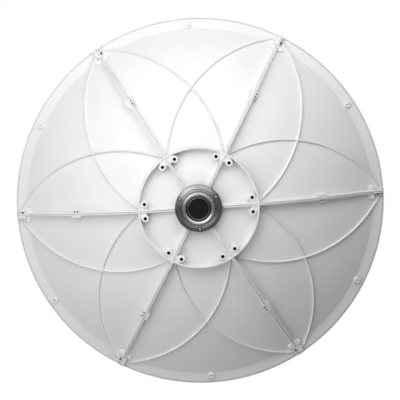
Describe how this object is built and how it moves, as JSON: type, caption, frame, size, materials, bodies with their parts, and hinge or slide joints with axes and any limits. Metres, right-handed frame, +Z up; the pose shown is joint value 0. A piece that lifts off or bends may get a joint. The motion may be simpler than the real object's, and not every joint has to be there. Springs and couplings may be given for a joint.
{
  "type": "microwave dish antenna reflector",
  "caption": "Round parabolic microwave dish, ribbed on its back, with a metal waveguide flange at the hub and a feed with sub-reflector in front.",
  "frame": {"origin": "centre of the bracket boss circle on the back, in the plane of the boss faces", "axes": "+Z up; the dish axis lies along Y, the ribbed back faces -Y and the beam leaves along +Y"},
  "size_m": [0.65, 0.2838, 0.65],
  "materials": {
    "white_paint": "satin white powder coat on cast aluminium",
    "machined_aluminium": "turned, fine rings",
    "polished_steel": "bright turned",
    "black_plastic": "smooth, slightly glossy",
    "cream_plastic": "smooth dielectric"
  },
  "bodies": {
    "root": {"reflector_shell": "white_paint", "rim_flange": "white_paint", "hub_ring": "white_paint", "hub_spoke_1": "white_paint", "hub_spoke_2": "white_paint", "hub_spoke_3": "white_paint", "hub_spoke_4": "white_paint", "hub_spoke_5": "white_paint", "hub_spoke_6": "white_paint", "radial_rib_1": "white_paint", "radial_rib_2": "white_paint", "radial_rib_3": "white_paint", "radial_rib_4": "white_paint", "radial_rib_5": "white_paint", "radial_rib_6": "white_paint", "petal_ribs_1": "white_paint", "petal_ribs_2": "white_paint", "petal_ribs_3": "white_paint", "petal_ribs_4": "white_paint", "petal_ribs_5": "white_paint", "petal_ribs_6": "white_paint", "rim_lug_1": "white_paint", "rim_lug_2": "white_paint", "rim_lug_3": "white_paint", "rim_lug_4": "white_paint", "rim_lug_5": "white_paint", "rim_lug_6": "white_paint", "rim_boss_1": "white_paint", "rim_boss_2": "white_paint", "rim_boss_3": "white_paint", "rim_boss_4": "white_paint", "rim_boss_5": "white_paint", "rim_boss_6": "white_paint", "feed_flange": "machined_aluminium", "feed_collar": "polished_steel", "feed_lock_ring": "machined_aluminium", "feed_screw_1": "polished_steel", "feed_screw_2": "polished_steel", "feed_screw_3": "polished_steel", "waveguide_window": "black_plastic", "feed_tube": "machined_aluminium", "feed_cone": "cream_plastic", "sub_reflector": "machined_aluminium"}
  },
  "joints": []
}
